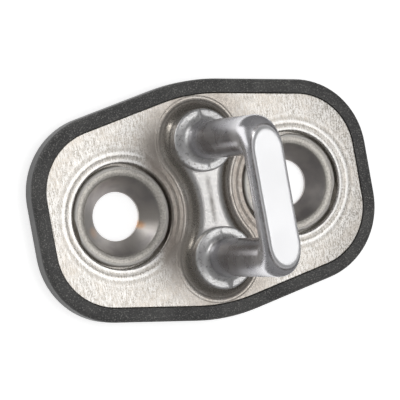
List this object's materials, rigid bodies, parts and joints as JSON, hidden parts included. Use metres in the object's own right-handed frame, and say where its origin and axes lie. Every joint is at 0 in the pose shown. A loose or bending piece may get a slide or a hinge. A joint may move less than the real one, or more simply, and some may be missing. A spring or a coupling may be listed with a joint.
{
  "type": "vehicle door striker",
  "caption": "Door striker plate with a round-bar loop, floating countersunk screw seats and a moulded mounting pad.",
  "frame": {"origin": "centre of the mounting plane, at the back of the pad", "axes": "+Z away from the door pillar, X along the two screws, Y along the crown of the loop"},
  "size_m": [0.0764, 0.0506, 0.0424],
  "materials": {
    "plate_steel": "tumbled and lightly brushed",
    "loop_steel": "smooth bright",
    "seat_steel": "satin turned",
    "pad_rubber": "fine moulded grain"
  },
  "bodies": {
    "striker": {"striker_plate": "plate_steel", "striker_loop": "loop_steel", "mounting_pad": "pad_rubber"},
    "left_seat": {"seat_washer_left": "seat_steel"},
    "right_seat": {"seat_washer_right": "seat_steel"}
  },
  "joints": [
    {"name": "left_seat_float", "type": "slide", "parent": "striker", "child": "left_seat", "axis": [1, 0, 0], "range_m": [-0.0003, 0.0003]},
    {"name": "right_seat_float", "type": "slide", "parent": "striker", "child": "right_seat", "axis": [1, 0, 0], "range_m": [-0.0003, 0.0003]}
  ]
}
